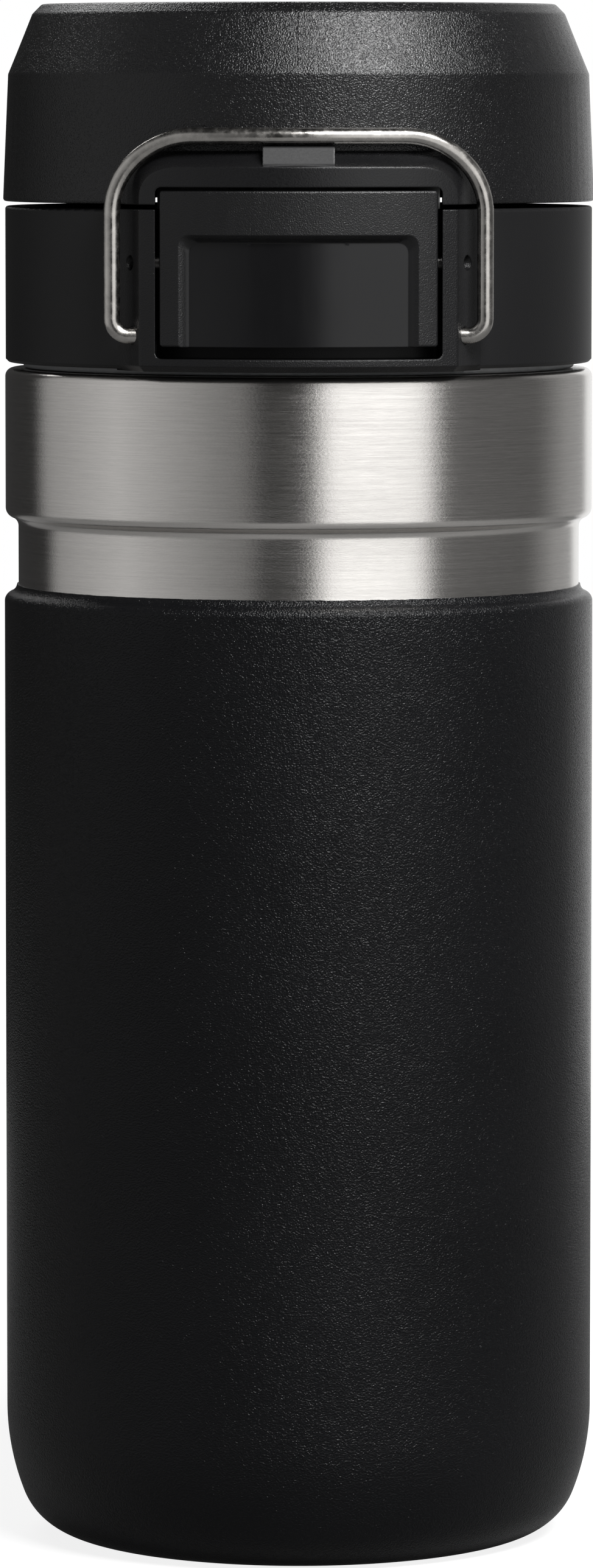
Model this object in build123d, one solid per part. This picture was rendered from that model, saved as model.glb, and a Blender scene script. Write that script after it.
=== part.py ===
"""Insulated travel mug: a double-walled steel bottle with a screw-on flip lid.

Millimetres. +Z is up, the front is -Y, and the origin is on the bottle's axis at the surface it stands on.
"""

from build123d import *

import math
import os

# ---- bottle: outside
BODY_R = 36.5            # powder-coated body
COAT = 0.2               # thickness of the powder coat
WALL = 0.6               # outer steel wall
BASE_BAND_Z = 16.0       # where the body starts to curve in to the base
BASE_ARC_R = 30.0        # long curve of the base
HEEL_R = 8.0             # tight curve at the heel
COAT_FOOT_ANGLE = 14.0   # the coat stops this many degrees up the heel
FOOT_FLAT = 1.8          # width of the bare ring that touches the table
FOOT_RECESS = 1.8        # depth of the dished base
SHOULDER_Z = 116.5       # coated shoulder starts
COAT_TOP_Z = 118.7       # coat ends, bare steel neck starts
NECK_R = 34.78
BAND_R = 36.36           # bare steel band above the neck
BAND_Z0, BAND_Z1 = 125.8, 128.1   # bend from the neck out to the band
RIM_Z = 145.4            # mouth of the bottle
RIM_ROUND = 1.0

# ---- bottle: inside
MOUTH_R = 32.4           # liner's inner radius
LINER_WALL = 0.5
LINER_FLOOR_Z = 8.0
LINER_CORNER_R = 12.0
SEAL_POINT_R = 1.15      # evacuation hole in the base
BASE_DISC_R = 22.0
BASE_DISC_T = 0.8
GETTER_X = 14.0
GETTER_R = 4.0

# ---- screw thread between the bottle and the core
LEAD = 8.0               # rise in one turn, shared by two starts
STARTS = 2
RIDGE_BASE, RIDGE_CREST = 1.4, 0.8
RIDGE_DEPTH = 1.1
THREAD_GAP = 0.4         # radial and axial play
THREAD_TOP_Z = RIM_Z - 2.4
THREAD_SPAN = 6.4
BOTTLE_THREAD_PHASE = 30.0

# ---- collar
COLLAR_R = 36.3
COLLAR_WALL = 1.8
COLLAR_INNER_R = COLLAR_R - COLLAR_WALL
COLLAR_Z0, COLLAR_Z1 = RIM_Z + 0.8, RIM_Z + 20.0
DECK_Z0, DECK_Z1 = RIM_Z + 15.9, RIM_Z + 17.4
GASKET_T = 1.4
SEAT_GAP = 0.1           # between pieces that press together face to face
FIT = 0.05               # radial clearance of a turning pin
SINK = 0.5               # how deep a boss or rib starts inside what carries it
OVERCUT = 1.0            # how far a cutter reaches past what it cuts

# ---- core: threaded skirt, flange and cone, with the drinking spout welded on top
CORE_WALL = 1.7
SKIRT_Z0 = RIM_Z - 10.8
FLANGE_T = 1.5
CONE_R = 26.0
SPOUT_R = 17.5
SPOUT_WALL = 2.0
SPOUT_Z = RIM_Z + 24.1
CONE_TOP_Z = RIM_Z + 11.6
SHOULDER_RING_R = 20.0
SHOULDER_RING_T = 1.2

# ---- front block that holds the button
BLOCK_R = 39.2           # its face is concentric with the bottle
BLOCK_HALF = 19.1
BLOCK_FOOT_HALF = 20.3   # its slanted sides reach this half width
BLOCK_FOOT_Y = -31.7
COVE_END_HALF = 21.9     # where the cove at its foot runs out on the collar
BLOCK_Z0, BLOCK_Z1 = RIM_Z + 0.6, RIM_Z + 25.1
BLOCK_CORNER_R = 5.5
BROW_SLOPE = 0.65        # rise of the block's top for each millimetre that it goes back
OPEN_HALF = 17.2
OPEN_Z0, OPEN_Z1 = RIM_Z + 2.15, RIM_Z + 22.7
OPEN_CORNER_R = 0.8
POCKET_BACK_Y = -28.5
POCKET_FLOOR_Z = RIM_Z + 4.4
POCKET_WALL = 1.2
SILL_WALL = 0.7          # what is left of the collar below the button
BLOCK_REACH = 6.4        # how far the lid's share runs back from the face's end
EDGE = 0.35              # rounding of small moulded edges

# ---- button
BUTTON_HALF = 16.65
BUTTON_Z0, BUTTON_Z1 = RIM_Z + 3.6, RIM_Z + 22.3
BUTTON_R = 39.0
BUTTON_T = 1.9
BUTTON_EDGE = 0.3        # rounding of the face's edges
THUMB_DEPTH = 1.0
THUMB_HALF = 13.12       # half width of the hollow's floor
THUMB_SLOPE = 1.25       # how far each side of the hollow slopes out
THUMB_TOP_Z = RIM_Z + 16.05
THUMB_TOP_SLOPE = 0.95
THUMB_CORNER_R = 2.0
BUTTON_PIN_R = 0.9
BUTTON_PIN_Y, BUTTON_PIN_Z = -31.8, RIM_Z + 13.6
BUTTON_PIN_HALF = 19.7
CHEEK_T = 1.5
CHEEK_Z0 = RIM_Z + 5.9
CHEEK_DROP = 3.0         # the cheeks end this far below the button's top
CHEEK_EYE_R = 1.9
HOOK_HALF = 6.0
HOOK_TIP_Y = -33.1
HOOK_R = 6.2             # underside of the hook, about the button pin
HOOK_T = 1.7
CATCH_R = 6.0            # top of the lid's catch, about the same pin
CATCH_HALF = 5.5
CATCH_TIP_Y = -33.75
CATCH_T = 1.4
CATCH_LIP = 0.6          # thickness of the catch at its tip
TONGUE_Y0, TONGUE_Y1 = -32.4, -31.0
SPRING_Z = RIM_Z + 7.5
SPRING_BOSS_R = 1.6
SPRING_BOSS_L = 1.4
BUTTON_SPRING_R = 2.2
BUTTON_SPRING_WIRE_R = 0.25
BUTTON_SPRING_TURNS = 6

# ---- flip lid
LID_Z0 = RIM_Z + 20.6
LID_R0 = 36.57
LID_EDGE_Z, LID_EDGE_R = RIM_Z + 36.2, 35.9   # where the top chamfer starts
LID_TOP_R, LID_TOP_Z = 32.9, RIM_Z + 44.8
LID_CHAMFER_TOP = 1.2    # the chamfer ends this far below the top
LID_EDGE_ROUND = 0.6     # rounding of the chamfer's two edges
LID_WALL = 1.8
LUG_HALF = 4.3
LUG_Z1 = RIM_Z + 27.55
LUG_Y = -38.9
LUG_LEAN = 0.9           # the lug's face leans back by this much at its top
LINER_PLATE_Z = RIM_Z + 25.8
LINER_PLATE_T = 1.5
SEAL_T = 1.5
SEAL_RING_WALL = 1.6
SEAL_RING_DROP = 2.6
SEAL_RING_GAP = 1.9      # between the spout and the seal's ring
POST_R, POST_PITCH_R, POST_COUNT = 2.2, 25.0, 4

# ---- lid hinge
KNUCKLE_R = 2.6
HINGE_Y, HINGE_Z = BLOCK_R - KNUCKLE_R, RIM_Z + 19.9   # the hinge stands out as far as the block does
HINGE_NOTCH_R = KNUCKLE_R + 0.3
KNUCKLE_X = (4.2, 7.0, 7.2, 11.0)   # lid knuckle from, to; collar knuckle from, to
HINGE_PIN_R = 1.0
COLLAR_BOSS_H, LID_BOSS_H = 8.0, 7.2   # bosses that carry the knuckles
BOSS_STEP = 1.0          # straight part of a boss beside its knuckle
HINGE_SPRING_R = 1.85
HINGE_SPRING_WIRE_R = 0.32
HINGE_SPRING_HALF = 3.4
HINGE_SPRING_TURNS = 8.5

# ---- wire bail that locks the lid
BAIL_WIRE_R = 1.0
BAIL_LEG_X = 22.4
BAIL_PIVOT_Y, BAIL_PIVOT_Z = -32.4, RIM_Z + 4.9
BAIL_BAR_Y, BAIL_BAR_Z = -37.45, RIM_Z + 28.8
BAIL_BAR_R = 41.7        # curve of the bar, seen from above
BAIL_CORNER = (9.8, 9.3)    # width and height of each upper corner
BAIL_BEND_R = 2.0
BAIL_STUB_END = 17.6


# ---- helpers

def disc(radius, z0, z1, x=0.0, y=0.0):
    """A round solid standing on z0."""
    return Pos(x, y, z0) * Cylinder(radius, z1 - z0, align=(Align.CENTER, Align.CENTER, Align.MIN))


def tube(outer, inner, z0, z1):
    return disc(outer, z0, z1) - disc(inner, z0, z1)


def span_box(x0, x1, y0, y1, z0, z1):
    return Pos((x0 + x1) / 2, (y0 + y1) / 2, (z0 + z1) / 2) * Box(x1 - x0, y1 - y0, z1 - z0)


def cross_rod(radius, x0, x1, y, z):
    """A round rod along X."""
    return Pos((x0 + x1) / 2, y, z) * Rot(0, 90, 0) * Cylinder(radius, x1 - x0)


def rod_along_y(radius, y0, y1, z):
    return Pos(0, (y0 + y1) / 2, z) * Rot(90, 0, 0) * Cylinder(radius, y1 - y0)


def both_sides(solid):
    """The solid and its mirror image across the middle plane."""
    return [solid, mirror(solid, Plane.YZ)]


def side_plate(points, x0, x1):
    """A plate between x0 and x1 whose outline is given as (y, z) points."""
    outline = make_face(Polyline(*[(y, z) for y, z in points], close=True))
    return Plane.YZ.offset(x0) * extrude(outline, x1 - x0)


def spin_edges(*edges):
    """Turns a closed outline in the XZ plane about the bottle's axis."""
    return revolve(make_face(Curve() + list(edges)), Axis.Z, 360)


def flat(r, z):
    return Vector(r, 0, z)


def s_bend(low, high):
    """Two equal arcs from one vertical stretch to another."""
    middle = (low + high) * 0.5
    return [TangentArc(low, middle, tangent=(0, 0, 1)), TangentArc(high, middle, tangent=(0, 0, -1))]


def base_centres():
    """Centres of the long base curve and of the heel curve, which touch each other and the table."""
    long_centre = flat(BODY_R - BASE_ARC_R, BASE_BAND_Z)
    reach = BASE_ARC_R - HEEL_R
    drop = BASE_BAND_Z - HEEL_R
    return long_centre, flat(long_centre.X + math.sqrt(reach**2 - drop**2), HEEL_R)


def along(centre, radius, degrees_up):
    """The point of a circle that lies this many degrees up from its lowest point, on the outside."""
    angle = math.radians(degrees_up)
    return centre + flat(radius * math.sin(angle), -radius * math.cos(angle))


def weld_angle():
    """Where the heel curve meets the long base curve."""
    long_centre, heel_centre = base_centres()
    step = heel_centre - long_centre
    return math.degrees(math.atan2(step.X, -step.Z))


def arc_about(centre, radius, angle_0, angle_1):
    middle = (angle_0 + angle_1) / 2
    return ThreePointArc(*[along(centre, radius, a) for a in (angle_0, middle, angle_1)])


def coil(radius, wire_r, length, turns):
    """A helical spring along Z, starting at z = 0."""
    path = Helix(pitch=length / turns, height=length, radius=radius)
    start = Plane(origin=path @ 0, x_dir=(1, 0, 0), z_dir=path % 0)
    return sweep(start * Circle(wire_r), path, is_frenet=True)


def thread_ridges(root_r, crest_r, z0, phase):
    """Helical ridges on a wall of radius root_r, standing out to crest_r."""
    bite = math.copysign(SINK / 2, root_r - crest_r)
    half_base, half_crest = RIDGE_BASE / 2, RIDGE_CREST / 2
    ridges = []
    for n in range(STARTS):
        path = Rot(0, 0, phase + n * 360 / STARTS) * Helix(pitch=LEAD, height=THREAD_SPAN, radius=root_r)
        outward = Vector((path @ 0).X, (path @ 0).Y, 0).normalized()
        section = make_face(Polyline(
            (bite, -half_base), (0, -half_base), (crest_r - root_r, -half_crest),
            (crest_r - root_r, half_crest), (0, half_base), (bite, half_base), close=True))
        plane = Plane(origin=path @ 0, x_dir=outward, z_dir=path % 0)
        ridges.append(Pos(0, 0, z0) * sweep(plane * section, path, is_frenet=True))
    return ridges


# ---- bottle

def outer_shell():
    """Outer steel wall: coated body, shoulder, neck, bare band and rolled rim."""
    long_centre, heel_centre = base_centres()
    skin, inside = COAT, COAT + WALL
    weld = weld_angle()
    liner_r = MOUTH_R + LINER_WALL

    def side(depth, neck_r, band_r, top_z, shoulder_drop):
        foot = arc_about(long_centre, BASE_ARC_R - depth, weld, 90)
        body_top = flat(BODY_R - depth, SHOULDER_Z - shoulder_drop)
        neck_low, neck_high = flat(neck_r, COAT_TOP_Z - shoulder_drop), flat(neck_r, BAND_Z0 + shoulder_drop)
        band_low, band_high = flat(band_r, BAND_Z1 + shoulder_drop), flat(band_r, top_z)
        return [foot, Line(foot @ 1, body_top), *s_bend(body_top, neck_low), Line(neck_low, neck_high),
                *s_bend(neck_high, band_low), Line(band_low, band_high)]

    outer = side(skin, NECK_R, BAND_R, RIM_Z - RIM_ROUND, 0)
    inner = side(inside, NECK_R - WALL, BAND_R - WALL, RIM_Z - RIM_ROUND, WALL / 2)
    rim_start = flat(BAND_R, RIM_Z - RIM_ROUND)
    rim_end = flat(BAND_R - RIM_ROUND, RIM_Z)
    lip = flat(liner_r, RIM_Z)
    under = flat(liner_r, RIM_Z - WALL)
    corner = flat(BAND_R - RIM_ROUND, RIM_Z - WALL)
    return spin_edges(
        *outer, TangentArc(rim_start, rim_end, tangent=(0, 0, 1)), Line(rim_end, lip), Line(lip, under),
        Line(under, corner), TangentArc(inner[-1] @ 1, corner, tangent=(0, 0, 1)), *inner,
        Line(inner[0] @ 0, outer[0] @ 0))


def base_cup():
    """Pressed base with the heel curve, the ring it stands on and a dished middle."""
    heel = base_centres()[1]
    weld = weld_angle()
    skin_r, inner_r = HEEL_R - COAT, HEEL_R - COAT - WALL
    bare = arc_about(heel, HEEL_R, 0, COAT_FOOT_ANGLE)
    coated = arc_about(heel, skin_r, COAT_FOOT_ANGLE, weld)
    inside = arc_about(heel, inner_r, 0, weld)
    foot_in = heel.X - FOOT_FLAT
    dish_r = foot_in - FOOT_RECESS
    top = COAT + WALL
    points = [bare @ 0, flat(foot_in, 0), flat(dish_r, FOOT_RECESS), flat(SEAL_POINT_R, FOOT_RECESS),
              flat(SEAL_POINT_R, FOOT_RECESS + WALL), flat(dish_r + WALL / 2, FOOT_RECESS + WALL),
              flat(foot_in + WALL / 2, top), inside @ 0]
    lines = [Line(a, b) for a, b in zip(points, points[1:])]
    return spin_edges(bare, Line(bare @ 1, coated @ 0), coated, Line(coated @ 1, inside @ 1), inside, *lines)


def powder_coat():
    """Thin coloured skin over the steel body and shoulder."""
    long_centre, heel = base_centres()
    weld = weld_angle()
    rings = []
    for depth in (0, COAT):
        low = arc_about(heel, HEEL_R - depth, COAT_FOOT_ANGLE, weld)
        high = arc_about(long_centre, BASE_ARC_R - depth, weld, 90)
        top = flat(BODY_R - depth, SHOULDER_Z)
        end = flat(NECK_R + COAT - depth, COAT_TOP_Z)
        rings.append([low, high, Line(high @ 1, top), *s_bend(top, end)])
    ends = [Line(rings[0][0] @ 0, rings[1][0] @ 0),
            Line(flat(NECK_R + COAT, COAT_TOP_Z), flat(NECK_R, COAT_TOP_Z))]
    return spin_edges(*rings[0], *rings[1], *ends)


def inner_liner():
    """Drinking vessel with the thread ridges inside its mouth."""
    outer_r, inner_r = MOUTH_R + LINER_WALL, MOUTH_R
    floor, inside_floor = LINER_FLOOR_Z, LINER_FLOOR_Z + LINER_WALL
    centre = flat(outer_r - LINER_CORNER_R, floor + LINER_CORNER_R)
    outer = arc_about(centre, LINER_CORNER_R, 0, 90)
    inner = arc_about(centre, LINER_CORNER_R - LINER_WALL, 0, 90)
    rim_out, rim_in = flat(outer_r, RIM_Z), flat(inner_r, RIM_Z)
    cup = spin_edges(
        Line(flat(0, floor), outer @ 0), outer, Line(outer @ 1, rim_out), Line(rim_out, rim_in),
        Line(rim_in, inner @ 1), inner, Line(inner @ 0, flat(0, inside_floor)),
        Line(flat(0, inside_floor), flat(0, floor)))
    thread_z0 = THREAD_TOP_Z - THREAD_SPAN
    return cup + thread_ridges(inner_r, inner_r - RIDGE_DEPTH, thread_z0, BOTTLE_THREAD_PHASE)


def vacuum_seal():
    """Glass bead that closes the evacuation hole."""
    plug_r, cap_r = SEAL_POINT_R - FIT / 2, SEAL_POINT_R * 2
    top = FOOT_RECESS + WALL
    return disc(plug_r, FOOT_RECESS + SEAT_GAP, top) + disc(cap_r, top, top + WALL)


def base_disc():
    """Cover disc stuck into the dished base."""
    body = disc(BASE_DISC_R, FOOT_RECESS - BASE_DISC_T, FOOT_RECESS)
    return chamfer(body.edges().group_by(Axis.Z)[0], BASE_DISC_T / 3)


def getter_clip():
    """Strap welded under the liner that holds the getter."""
    strap_t = 0.4
    plate = disc(GETTER_R + 2, LINER_FLOOR_Z - strap_t, LINER_FLOOR_Z, GETTER_X)
    wall = disc(GETTER_R + strap_t, LINER_FLOOR_Z - strap_t - 1.2, LINER_FLOOR_Z - strap_t, GETTER_X)
    return plate + wall - disc(GETTER_R, 0, LINER_FLOOR_Z - strap_t, GETTER_X)


def getter():
    """Pill that soaks up the last gas in the vacuum."""
    return disc(GETTER_R - FIT, LINER_FLOOR_Z - 2.0, LINER_FLOOR_Z - 0.4, GETTER_X)


# ---- lid's lower half

def neck_gasket():
    """Silicone ring that the core presses on the rim."""
    z0 = RIM_Z + SEAT_GAP
    ring = tube(COLLAR_INNER_R - 0.4, MOUTH_R - RIDGE_DEPTH, z0, z0 + GASKET_T)
    return fillet(ring.edges().filter_by(GeomType.CIRCLE), GASKET_T / 4)


def flange_z():
    return RIM_Z + GASKET_T + 2 * SEAT_GAP


def threaded_core():
    """Skirt that screws into the mouth, sealing flange and the cone under the spout."""
    skirt_r = MOUTH_R - RIDGE_DEPTH - THREAD_GAP
    spout_in = SPOUT_R - SPOUT_WALL
    z0, z1 = flange_z(), flange_z() + FLANGE_T
    flange_r = COLLAR_INNER_R - SEAT_GAP
    points = [
        (skirt_r, SKIRT_Z0), (skirt_r, z0), (flange_r, z0), (flange_r, z1), (CONE_R, z1),
        (SPOUT_R, CONE_TOP_Z), (spout_in, CONE_TOP_Z), (CONE_R - CORE_WALL, z0),
        (skirt_r - CORE_WALL, z0), (skirt_r - CORE_WALL, SKIRT_Z0)]
    body = revolve(Plane.XZ * make_face(Polyline(*points, close=True)), Axis.Z, 360)
    drop = (RIDGE_BASE + RIDGE_CREST) / 2 + THREAD_GAP
    ridge_z0 = THREAD_TOP_Z - THREAD_SPAN - drop
    return body + thread_ridges(skirt_r, MOUTH_R - THREAD_GAP, ridge_z0, BOTTLE_THREAD_PHASE)


def drinking_spout():
    """Tube that the drink leaves by, with a shoulder that carries the collar's deck."""
    body = tube(SPOUT_R, SPOUT_R - SPOUT_WALL, CONE_TOP_Z, SPOUT_Z)
    lip = body.edges().filter_by(GeomType.CIRCLE).group_by(Axis.Z)[-1]
    return fillet(lip, SPOUT_WALL * 0.4) + tube(
        SHOULDER_RING_R, SPOUT_R - SPOUT_WALL / 2, DECK_Z0 - SHOULDER_RING_T, DECK_Z0)


def block_plan():
    """Seen from above: the block's curved face, slanted sides and the coves that run into the collar."""
    face_y = -math.sqrt(BLOCK_R**2 - BLOCK_HALF**2)
    cove_y = -math.sqrt(COLLAR_R**2 - COVE_END_HALF**2)
    root_y = cove_y + 2.0
    edges = [ThreePointArc((-BLOCK_HALF, face_y), (0, -BLOCK_R), (BLOCK_HALF, face_y))]
    slant = Vector(BLOCK_FOOT_HALF - BLOCK_HALF, BLOCK_FOOT_Y - face_y)
    for side in (-1, 1):
        front, foot = (side * BLOCK_HALF, face_y), (side * BLOCK_FOOT_HALF, BLOCK_FOOT_Y)
        end = (side * COVE_END_HALF, cove_y)
        edges += [Line(front, foot), TangentArc(foot, end, tangent=(side * slant.X, slant.Y)),
                  Line(end, (side * COVE_END_HALF, root_y))]
    edges.append(Line((-COVE_END_HALF, root_y), (COVE_END_HALF, root_y)))
    return make_face(Curve() + edges)


def block_slab(z0, z1):
    slab = Pos(0, 0, z0) * extrude(block_plan(), z1 - z0)
    front = [e for e in slab.edges().filter_by(Axis.Z) if abs(abs(e.center().X) - BLOCK_HALF) < EDGE]
    return fillet(front, EDGE * 2)


def front_window(half, z0, z1, corner_r):
    """A rounded rectangle seen from the front, as a prism through the block."""
    window = Pos(0, (z0 + z1) / 2) * RectangleRounded(2 * half, z1 - z0, corner_r)
    return Plane.XZ.offset(-POCKET_BACK_Y) * extrude(window, BLOCK_R)


def block_opening():
    """The space cut for the button, down to the collar's own wall near the bottom."""
    sill = disc(COLLAR_INNER_R + SILL_WALL, OPEN_Z0 - OVERCUT, POCKET_FLOOR_Z)
    return front_window(OPEN_HALF, OPEN_Z0, OPEN_Z1, OPEN_CORNER_R) - sill


def hinge_notch(x):
    """Round clearance about the hinge pin."""
    return cross_rod(HINGE_NOTCH_R, -x, x, HINGE_Y, HINGE_Z)


def collar_shell():
    """Outer ring, deck, front block with the button's pocket, and the rear knuckles."""
    ring = tube(COLLAR_R, COLLAR_INNER_R, COLLAR_Z0, COLLAR_Z1)
    ring = chamfer(ring.edges().group_by(Axis.Z)[0].sort_by(SortBy.LENGTH)[-1], EDGE)
    top_edge = ring.edges().filter_by(GeomType.CIRCLE).group_by(Axis.Z)[-1].sort_by(SortBy.LENGTH)[-1]
    ring = fillet(top_edge, EDGE)
    deck = tube(COLLAR_INNER_R, SPOUT_R + SEAT_GAP, DECK_Z0, DECK_Z1)
    block = block_slab(BLOCK_Z0, COLLAR_Z1)
    sill_edge = block.faces().sort_by(Axis.Z)[0].edges().filter_by(GeomType.CIRCLE).sort_by(Axis.Y)[0]
    block = chamfer(sill_edge, EDGE * 2)
    block -= disc(COLLAR_INNER_R, BLOCK_Z0, DECK_Z0)
    pocket_half = OPEN_HALF + POCKET_WALL
    floor_z = POCKET_FLOOR_Z - POCKET_WALL
    back = POCKET_BACK_Y + POCKET_WALL
    pocket = span_box(-pocket_half, pocket_half, -COLLAR_INNER_R, back, floor_z, DECK_Z1) & disc(
        COLLAR_INNER_R, floor_z, DECK_Z1)
    body = ring + deck + block + pocket
    body -= span_box(-OPEN_HALF, OPEN_HALF, -COLLAR_R, POCKET_BACK_Y, POCKET_FLOOR_Z, LID_Z0)
    body -= block_opening()
    body -= hinge_notch((KNUCKLE_X[1] + KNUCKLE_X[2]) / 2)
    body += rod_along_y(SPRING_BOSS_R, POCKET_BACK_Y - SPRING_BOSS_L, POCKET_BACK_Y, SPRING_Z)
    body += both_sides(collar_knuckle())
    outside = BLOCK_FOOT_HALF + OVERCUT
    body -= cross_rod(HINGE_PIN_R + FIT / 2, -outside, outside, HINGE_Y, HINGE_Z)
    body -= cross_rod(BUTTON_PIN_R + FIT / 2, -outside, outside, BUTTON_PIN_Y, BUTTON_PIN_Z)
    body -= cross_rod(BAIL_WIRE_R + FIT, -COVE_END_HALF, COVE_END_HALF, BAIL_PIVOT_Y, BAIL_PIVOT_Z)
    return body


def collar_knuckle():
    """One of the collar's two hinge knuckles, carried on a boss behind the ring."""
    x0, x1 = KNUCKLE_X[2:]
    root_y, back_y = COLLAR_INNER_R - SILL_WALL, HINGE_Y + KNUCKLE_R
    low_z = HINGE_Z - COLLAR_BOSS_H
    boss = side_plate([(root_y, low_z), (COLLAR_R - SINK, low_z), (back_y, HINGE_Z - BOSS_STEP),
                       (back_y, HINGE_Z), (root_y, HINGE_Z)], x0, x1)
    barrel = cross_rod(KNUCKLE_R, x0, x1, HINGE_Y, HINGE_Z)
    return boss + barrel


def button_pin():
    return cross_rod(BUTTON_PIN_R, -BUTTON_PIN_HALF, BUTTON_PIN_HALF, BUTTON_PIN_Y, BUTTON_PIN_Z)


def hinge_pin():
    return cross_rod(HINGE_PIN_R, -KNUCKLE_X[3], KNUCKLE_X[3], HINGE_Y, HINGE_Z)


def hinge_spring():
    """Turns of the torsion spring about the hinge pin, between the lid's knuckles."""
    turns = coil(HINGE_SPRING_R, HINGE_SPRING_WIRE_R, 2 * HINGE_SPRING_HALF, HINGE_SPRING_TURNS)
    return Pos(-HINGE_SPRING_HALF, HINGE_Y, HINGE_Z) * Rot(0, 90, 0) * Rot(0, 0, 90) * turns


def button_spring():
    """Compression spring behind the lower half of the button."""
    length = BUTTON_R - BUTTON_T + POCKET_BACK_Y - 2 * BUTTON_SPRING_WIRE_R - 2 * SEAT_GAP
    turns = coil(BUTTON_SPRING_R, BUTTON_SPRING_WIRE_R, length, BUTTON_SPRING_TURNS)
    return Pos(0, POCKET_BACK_Y - SEAT_GAP - BUTTON_SPRING_WIRE_R, SPRING_Z) * Rot(90, 0, 0) * turns


# ---- button

def about_pin(radius, y):
    """Height at which a circle about the button's pin passes above this y."""
    return BUTTON_PIN_Z + math.sqrt(radius**2 - (y - BUTTON_PIN_Y)**2)


def thumb_hollow():
    """Cutter for the thumb hollow, which is open at the button's foot."""
    floor_r, over = BUTTON_R - THUMB_DEPTH, 2 * OVERCUT
    more = over / THUMB_DEPTH
    low, high = BUTTON_Z0 - OVERCUT, THUMB_TOP_Z + more * THUMB_TOP_SLOPE
    ring = revolve(Plane.XZ * make_face(Polyline(
        (floor_r, low), (floor_r, THUMB_TOP_Z), (floor_r + over, high), (floor_r + over, low),
        close=True)), Axis.Z, 360)
    floor_y = -math.sqrt(floor_r**2 - THUMB_HALF**2)
    rim_half = THUMB_HALF + THUMB_SLOPE
    rim_y = -math.sqrt(BUTTON_R**2 - rim_half**2)
    wide = (THUMB_HALF + more * THUMB_SLOPE, floor_y + more * (rim_y - floor_y))
    front_y = -BUTTON_R - over
    plan = make_face(Polyline((-THUMB_HALF, floor_y), (THUMB_HALF, floor_y), wide, (wide[0], front_y),
                              (-wide[0], front_y), (-wide[0], wide[1]), close=True))
    hollow = ring & Pos(0, 0, low) * extrude(plan, high + OVERCUT - low)
    corners = [e for e in hollow.edges() if e.geom_type == GeomType.HYPERBOLA]
    return fillet(corners, THUMB_CORNER_R)


def button():
    """Curved rocker button with cheeks on its pin, a hook at the top and a spring seat at the foot."""
    inner_r = BUTTON_R - BUTTON_T
    plate = tube(BUTTON_R, inner_r, BUTTON_Z0, BUTTON_Z1) & front_window(
        BUTTON_HALF, BUTTON_Z0, BUTTON_Z1, OPEN_CORNER_R / 2)
    plate = fillet(plate.faces().sort_by(Axis.Y)[0].edges(), BUTTON_EDGE)
    plate -= thumb_hollow()
    pin_y, pin_z = BUTTON_PIN_Y, BUTTON_PIN_Z
    front_y = -math.sqrt(inner_r**2 - BUTTON_HALF**2) - SINK
    cheek_z1 = BUTTON_Z1 - CHEEK_DROP
    eye_y = pin_y - CHEEK_EYE_R / 2
    cheek = side_plate([(front_y, CHEEK_Z0), (eye_y, CHEEK_Z0), (pin_y + CHEEK_EYE_R, pin_z),
                        (eye_y, cheek_z1), (front_y, cheek_z1)], BUTTON_HALF - CHEEK_T, BUTTON_HALF)
    cheek += cross_rod(CHEEK_EYE_R, BUTTON_HALF - CHEEK_T, BUTTON_HALF, pin_y, pin_z)
    hook_z1 = about_pin(HOOK_R, HOOK_TIP_Y) + HOOK_T
    hook = span_box(-HOOK_HALF, HOOK_HALF, -inner_r - SINK, HOOK_TIP_Y, pin_z, hook_z1)
    hook -= cross_rod(HOOK_R, -BUTTON_HALF, BUTTON_HALF, pin_y, pin_z)
    boss = rod_along_y(SPRING_BOSS_R, -inner_r - SINK, -inner_r + SPRING_BOSS_L, SPRING_Z)
    body = plate + both_sides(cheek) + hook + boss
    return body - cross_rod(BUTTON_PIN_R + FIT, -BUTTON_HALF - OVERCUT, BUTTON_HALF + OVERCUT, pin_y, pin_z)


# ---- flip lid

def lid_wall_r(z):
    """Outer radius of the lid's side at this height."""
    share = (z - LID_Z0) / (LID_EDGE_Z - LID_Z0)
    return LID_R0 + share * (LID_EDGE_R - LID_R0)


def lid_cap():
    top_in = LID_TOP_Z - LID_WALL
    slope_z = LID_TOP_Z - LID_CHAMFER_TOP
    points = [(LID_R0, LID_Z0), (LID_EDGE_R, LID_EDGE_Z), (LID_TOP_R, slope_z),
              (LID_TOP_R - LID_CHAMFER_TOP, LID_TOP_Z), (0, LID_TOP_Z), (0, top_in),
              (LID_TOP_R - 2 * LID_WALL, top_in), (LID_EDGE_R - LID_WALL, LID_EDGE_Z - LID_WALL / 2),
              (LID_R0 - LID_WALL, LID_Z0)]
    cap = revolve(Plane.XZ * make_face(Polyline(*points, close=True)), Axis.Z, 360)
    foot = cap.edges().filter_by(GeomType.CIRCLE).group_by(Axis.Z)[0].sort_by(SortBy.LENGTH)[-1]
    cap = fillet(foot, EDGE)
    crown = [e for e in cap.edges().filter_by(GeomType.CIRCLE)
             if e.center().Z > LID_EDGE_Z - EDGE and e.radius > LID_TOP_R - LID_WALL]
    return fillet(crown, LID_EDGE_ROUND)


def block_slant():
    """Half width that the block's sides gain for each millimetre back, and where its face ends in Y."""
    face_y = -math.sqrt(BLOCK_R**2 - BLOCK_HALF**2)
    return (BLOCK_FOOT_HALF - BLOCK_HALF) / (BLOCK_FOOT_Y - face_y), face_y


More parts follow.
